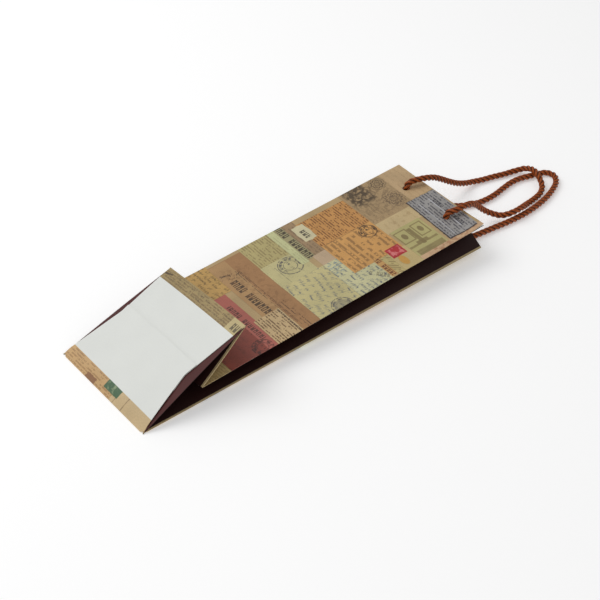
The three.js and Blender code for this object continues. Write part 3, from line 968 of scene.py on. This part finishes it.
def add_base_board():
    def point(t, s):
        x = lerp(-BASE_BOARD_HALF, BASE_BOARD_HALF, t)
        return base_surface(x, lerp(BASE_BOARD_START, BASE_BOARD_END, s), -LAYER - BOARD / 2)

    def spread(t, s):
        return (94 * t, 89 * s)

    made = paper_sheet("base_stiffener", point, spread, 16, 16, BOARD, [GREY_BOARD, GREY_BOARD])
    finish_piece(made, "base", "board", "base_board")
    flatten(made)


def add_base():
    add_base_flap("base_back_flap_paper", "base_back_flap", 0.0, BACK_FLAP_END, 2,
                  lambda y: y, lambda y: BACK_START + y / MM)
    add_base_flap("base_front_flap_paper", "base_front_flap", FRONT_FLAP_START, DEPTH, 1,
                  lambda y: DEPTH - y, lambda y: -(LOWER + DEPTH - y) / MM)
    for side, sign in SIDES:
        add_base_side_flap(side, sign)
    add_base_board()


# Folded-in sides

WRAP = 1.2  # millimetres of collage that turn the back's side folds
LOWER_WRAP = 1.6


def add_gusset(side, sign):
    def back_point(t, s):
        return gusset_back(sign, t, lerp(POINT_P * t, HEIGHT, s))

    def back_spread(t, s):
        return (GUSSET / MM * t - WRAP, lerp(POINT_P * t, HEIGHT, s) / MM)

    def front_point(t, s):
        return gusset_front(sign, t, lerp(lerp(C_ALONG, POINT_P, t), HEIGHT, s))

    def front_spread(t, s):
        return (GUSSET / MM * t + 1, HEIGHT / MM * s)

    for half, point, spread, upright in (
        ("back", back_point, back_spread, -sign),
        ("front", front_point, front_spread, sign),
    ):
        name = f"gusset_{half}_{side}"
        made = paper_sheet(f"{name}_paper", point, spread, 26, 70, PAPER, [SHADED_MAROON, WHITE], upright=upright)
        finish_piece(made, f"{name}_wall", "maroon_paper", name)


def add_corner_triangles(side, sign):
    """The two halves of a folded corner, which meet at the end of the gusset's centre crease."""
    apex = bag(sign * CREASE_HALF_GAP, POINT_P, CREASE_HEIGHT)

    def base_point(t, s):
        return base_surface(sign * HALF, s * DEPTH, -PAPER).lerp(apex, t)

    def base_spread(t, s):
        return (60 * t + 1, 100 * s)

    def lower_point(t, s):
        return lower_surface(sign * HALF, s * LOWER, -PAPER).lerp(apex, t)

    def lower_spread(t, s):
        return (GUSSET / MM * t - LOWER_WRAP, 55 * s)

    for half, point, spread, rows, body, fold, along in (
        ("base", base_point, base_spread, 30, "base_corner", FOLD_A, BASE_ALONG),
        ("lower", lower_point, lower_spread, 20, "front_corner", FOLD_B, LOWER_ALONG),
    ):
        name = f"{half}_triangle_{side}"
        made = paper_sheet(f"{name}_paper", point, spread, 20, rows, PAPER, [SHADED_MAROON, WHITE], upright=sign)
        finish_piece(made, f"{body}_{side}", "maroon_paper", name)
        flatten(made)


def add_seam_tab():
    """The glued overlap that closes the tube."""
    def point(t, s):
        y = lerp(0.62 * DEPTH, HEIGHT - TURN_IN - 4 * MM, s)
        return gusset_back(-1, lerp(0.26, 0.26 + 14 * MM / GUSSET, t), y, LAYER)

    def spread(t, s):
        return (14 * t + 2, 240 * s)

    made = paper_sheet("side_seam_tab_paper", point, spread, 6, 40, PAPER, [SHADED_MAROON, WHITE])
    finish_piece(made, "gusset_back_left_wall", "maroon_paper", "side_seam_tab")


# Mouth

GLUE = 0.3 * MM
MOUTH_INSET = 4.5 * MM
TURNED_FROM = TURN_IN - 4 * MM  # how far from the mouth the board and the gussets' turn-ins start


def add_mouth_layers(name, surface, length, hole_places, outwards, sign):
    """A panel's stiffener and the turned-in paper over it. Its inside is on the side of outwards, times
    sign."""
    half = HALF - MOUTH_INSET
    board_off = sign * (PAPER / 2 + GLUE + BOARD / 2)
    paper_off = board_off + sign * (BOARD / 2 + GLUE + PAPER / 2)

    def board_point(t, s):
        return surface(lerp(-half, half, t), lerp(length - TURNED_FROM, length - MM, s), board_off)

    def paper_point(t, s):
        return surface(lerp(-half, half, t), lerp(length - TURN_IN, length - 0.5 * MM, s), paper_off)

    def spread(t, s):
        return (100 * t, 35 * s)

    board = paper_sheet(
        f"{name}_mouth_stiffener", board_point, spread, 20, 10, BOARD, [GREY_BOARD, GREY_BOARD]
    )
    paper = paper_sheet(f"{name}_turned_in_paper", paper_point, spread, 20, 10, PAPER, [WHITE, WHITE])
    holes = [surface(x, length - HOLE_TO_MOUTH, board_off) for x in hole_places]
    punch(board, holes, outwards)
    punch(paper, holes, outwards)
    finish_piece(board, name, "board", f"{name}_mouth_board")
    finish_piece(paper, name, "white_paper", f"{name}_turn_in")


def add_gusset_turn_in(half, surface, side, sign):
    def point(t, s):
        y = lerp(HEIGHT - TURNED_FROM, HEIGHT - MM, s)
        return surface(sign, lerp(0.14, 0.97, t), y, LAYER)

    def spread(t, s):
        return (45 * t, 30 * s)

    name = f"gusset_{half}_{side}"
    made = paper_sheet(f"{name}_turned_in_paper", point, spread, 16, 8, PAPER, [WHITE, WHITE])
    finish_piece(made, f"{name}_wall", "white_paper", f"gusset_{half}_turn_in_{side}")


# Ropes. Their routes are in millimetres, and the back one lies flat.

FLOOR_Z = ROPE / MM / 2 + 0.15
OVER_Z = FLOOR_Z + ROPE / MM + 0.5

FRONT_ROPE = [
    (-25.5, 159.6, 29.2), (-25.5, 160, 32.2), (-25.4, 160.5, 33.8), (-24.9, 162.6, 35.5),
    (-23.9, 165.8, 36.4), (-22.6, 169.6, 36.8), (-21.4, 173.6, 36.8), (-20.3, 180, 35.6),
    (-20.2, 188.5, 32.2), (-20.6, 198, 26.2), (-20.7, 208, 19.4), (-20.9, 219, 12.6),
    (-21.6, 231, 7), (-21.6, 242, 3.9), (-19.6, 252, FLOOR_Z), (-17, 263, FLOOR_Z),
    (-13.6, 275, FLOOR_Z), (-10.8, 286, 3.4), (-5.6, 293.4, 5.8), (3.6, 294.2, OVER_Z),
    (13.8, 291.6, 7.4), (22.2, 287.2, 3.9), (27.4, 279.5, FLOOR_Z), (30.4, 268, FLOOR_Z),
    (33.6, 254, 5), (37.8, 242.5, OVER_Z), (38, 232, OVER_Z), (32.8, 222.9, 6.4),
    (26.6, 214.7, 9), (24.4, 206, 15.6), (25.4, 196.5, 25), (27.8, 186, 32.6),
    (29.8, 176.5, 36), (30.4, 169.2, 36.8), (29.6, 164, 36.4), (27.9, 160.2, 35.5),
    (27.1, 157.9, 33.8), (27, 157.4, 32.2), (27, 157, 29.2),
]
BACK_ROPE = [
    (27, 157.4), (29, 161.5), (31.6, 168), (34.05, 175.7), (35.8, 183), (37.3, 195), (38.6, 208),
    (40, 221), (40.7, 235), (40.6, 248), (39.2, 261), (36, 277), (31.2, 291), (24.6, 303.5),
    (16.5, 309.8), (9, 308), (5.2, 300.5), (2.8, 291), (0.2, 281), (-0.2, 270), (1.6, 258),
    (3.8, 246), (4.6, 234), (3.2, 222), (-2, 209), (-10, 197.5), (-17.5, 187), (-23, 175.7),
    (-25.2, 168), (-26.4, 161.5), (-27, 157.4),
]
ROUTE_STEP = 1.1
TWIST_PITCH = 15 * MM
STRANDS = 3
STRAND_SIDES = 10
STRAND_RADIUS = 0.255  # of the rope's diameter
LAY_RADIUS = 0.265
KNOT_ROPE = 3.6 * MM


def smooth_route(points, step):
    """Points about a step apart on the centripetal Catmull-Rom curve through the given ones."""
    p = np.array(points, float)
    p = np.vstack([2 * p[0] - p[1], p, 2 * p[-1] - p[-2]])
    route = []
    for i in range(1, len(p) - 2):
        near = p[i - 1:i + 3]
        gaps = np.sqrt(np.linalg.norm(np.diff(near, axis=0), axis=1))
        k0, k1, k2, k3 = np.concatenate([[0], np.cumsum(np.maximum(gaps, 1e-3))])
        count = max(2, math.ceil(np.linalg.norm(near[2] - near[1]) / step))
        for u in np.linspace(k1, k2, count, endpoint=False):
            a1 = lerp(near[0], near[1], (u - k0) / (k1 - k0))
            a2 = lerp(near[1], near[2], (u - k1) / (k2 - k1))
            a3 = lerp(near[2], near[3], (u - k2) / (k3 - k2))
            b1 = lerp(a1, a2, (u - k0) / (k2 - k0))
            b2 = lerp(a2, a3, (u - k1) / (k3 - k1))
            route.append(lerp(b1, b2, (u - k1) / (k2 - k1)))
    route.append(p[-2])
    return np.array(route)


def gaps_along(route):
    return np.linalg.norm(np.diff(route, axis=0), axis=1)


def ring_axes(route):
    """For each point of a route, its direction and two axes across it that turn as little as they can."""
    heading = np.gradient(route, axis=0)
    heading /= np.linalg.norm(heading, axis=1)[:, None]
    side = np.cross(heading[0], [0.3, 0.2, 1.0])
    sides = []
    for h in heading:
        side = side - h * (side @ h)
        side /= np.linalg.norm(side)
        sides.append(side)
    sides = np.array(sides)
    return heading, sides, np.cross(heading, sides)


def twisted_rope(name, route, diameter):
    """Three strands laid round each other along the route, as one mesh."""
    _, side, up = ring_axes(route)
    lengths = np.concatenate([[0], np.cumsum(gaps_along(route))])
    vertices, faces, uvs = [], [], []
    for strand in range(STRANDS):
        first = len(vertices)
        angle = 2 * math.pi * (lengths / TWIST_PITCH + strand / STRANDS)
        outwards = np.cos(angle)[:, None] * side + np.sin(angle)[:, None] * up
        centre = route + LAY_RADIUS * diameter * outwards
        ahead, _, _ = ring_axes(centre)
        sideways = np.cross(ahead, outwards)
        sideways /= np.linalg.norm(sideways, axis=1)[:, None]
        outwards = np.cross(sideways, ahead)
        for i in range(len(route)):
            for k in range(STRAND_SIDES):
                turn = 2 * math.pi * k / STRAND_SIDES
                reach = math.cos(turn) * outwards[i] + math.sin(turn) * sideways[i]
                vertices.append(centre[i] + STRAND_RADIUS * diameter * reach)
                uvs.append((math.cos(turn), lengths[i] / MM))
        for i in range(len(route) - 1):
            for k in range(STRAND_SIDES):
                a = first + i * STRAND_SIDES + k
                b = first + i * STRAND_SIDES + (k + 1) % STRAND_SIDES
                faces.append((a, b, b + STRAND_SIDES, a + STRAND_SIDES))
        last = first + (len(route) - 1) * STRAND_SIDES
        faces.append(tuple(first + k for k in range(STRAND_SIDES - 1, -1, -1)))
        faces.append(tuple(last + k for k in range(STRAND_SIDES)))
    return mesh_object(name, vertices, faces, uvs, [CORD], [0] * len(faces))


def add_rope(name, points, nodes, joint):
    """A handle laid along the given points as a twisted rope, in place of the model's rope parts."""
    route = smooth_route(points, ROUTE_STEP) * MM
    rope = twisted_rope(name, route, ROPE)
    hinge = Vector(JOINTS[joint]["pos_m"])
    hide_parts(*nodes)
    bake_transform(rope)


def add_ropes():
    add_rope("front_rope_twisted", FRONT_ROPE, ["front_rope"], "front_handle_swing")
    flat = [(x, y, FLOOR_Z) for x, y in BACK_ROPE]
    add_rope("back_rope_twisted", flat, ["back_rope", "back_rope_run_left", "back_rope_run_right"],
             "back_handle_lift")


def add_knot(name, body, hole, inwards, route):
    """An overhand knot, pulled tight, that the route so far leads to."""
    up = ACROSS.cross(inwards)
    for k in range(61):
        turn = 0.3 + 1.92 * math.pi * k / 60
        over = math.sin(turn) + 2 * math.sin(2 * turn)
        rise = math.cos(turn) - 2 * math.cos(2 * turn)
        depth = 6.1 - 2.0 * math.sin(3 * turn)
        route.append(hole + (over * ACROSS + rise * up) * 1.2 * MM + inwards * depth * MM)
    made = twisted_rope(f"{name}_tied", np.array(route), KNOT_ROPE)
    finish_piece(made, body, "rope", name)


def add_knots():
    for (side, _), x in zip(SIDES, BACK_HOLES):
        hole = back_surface(x, HEIGHT - HOLE_TO_MOUTH)
        neck = [hole - OUT * 0.3 * MM, hole + OUT * 2.2 * MM]
        add_knot(f"back_knot_{side}", "back", hole, OUT, neck)
    for (side, _), x in zip(SIDES, FRONT_HOLES):
        hole = front_surface(x, FRONT - HOLE_TO_MOUTH)
        add_knot(f"front_knot_{side}", "front", hole, -FRONT_OUT, [])


add_ropes()
add_back_panel()
add_front_panel()
add_lower_panel()
add_base()
for side, sign in SIDES:
    add_gusset(side, sign)
for side, sign in SIDES:
    add_corner_triangles(side, sign)
add_mouth_layers("back", back_surface, HEIGHT, BACK_HOLES, OUT, 1)
add_mouth_layers("front", front_surface, FRONT, FRONT_HOLES, FRONT_OUT, -1)
for side, sign in SIDES:
    add_gusset_turn_in("back", gusset_back, side, sign)
    add_gusset_turn_in("front", gusset_front, side, sign)
add_seam_tab()
add_knots()


# Studio

FLOOR_SIZE = 40.0
FLOOR_DROP = 0.2 * MM
FLOOR_GLOW = 0.27
SKY = 0.45


def add_floor():
    corners = [(-1, -1), (1, -1), (1, 1), (-1, 1)]
    mesh = bpy.data.meshes.new("floor")
    mesh.from_pydata([(x * FLOOR_SIZE, y * FLOOR_SIZE, 0) for x, y in corners], [], [(0, 1, 2, 3)])
    floor = new_object("floor", mesh)
    floor.location.z = -FLOOR_DROP
    material, _, shader = new_material("floor")
    shader.inputs["Base Color"].default_value = (0.92, 0.92, 0.92, 1)
    shader.inputs["Roughness"].default_value = 0.9
    shader.inputs["Emission Color"].default_value = (1, 1, 1, 1)
    shader.inputs["Emission Strength"].default_value = FLOOR_GLOW
    mesh.materials.append(material)


def add_world():
    world = bpy.data.worlds.new("studio")
    world.use_nodes = True
    background = world.node_tree.nodes["Background"]
    background.inputs["Color"].default_value = (1, 1, 1, 1)
    background.inputs["Strength"].default_value = SKY
    bpy.context.scene.world = world


def add_light(name, place, power, width):
    light = bpy.data.lights.new(name, "AREA")
    light.energy = power
    light.size = width
    lamp = new_object(name, light)
    lamp.location = place
    lamp.rotation_mode = "QUATERNION"
    lamp.rotation_quaternion = (-Vector(place)).to_track_quat("-Z", "Y")


add_floor()
add_world()
add_light("key", (-0.9, -0.5, 1.5), 12.5, 1.2)
add_light("fill", (0.9, -1.2, 1.3), 3.0, 1.4)
bpy.context.scene.view_settings.view_transform = "Standard"
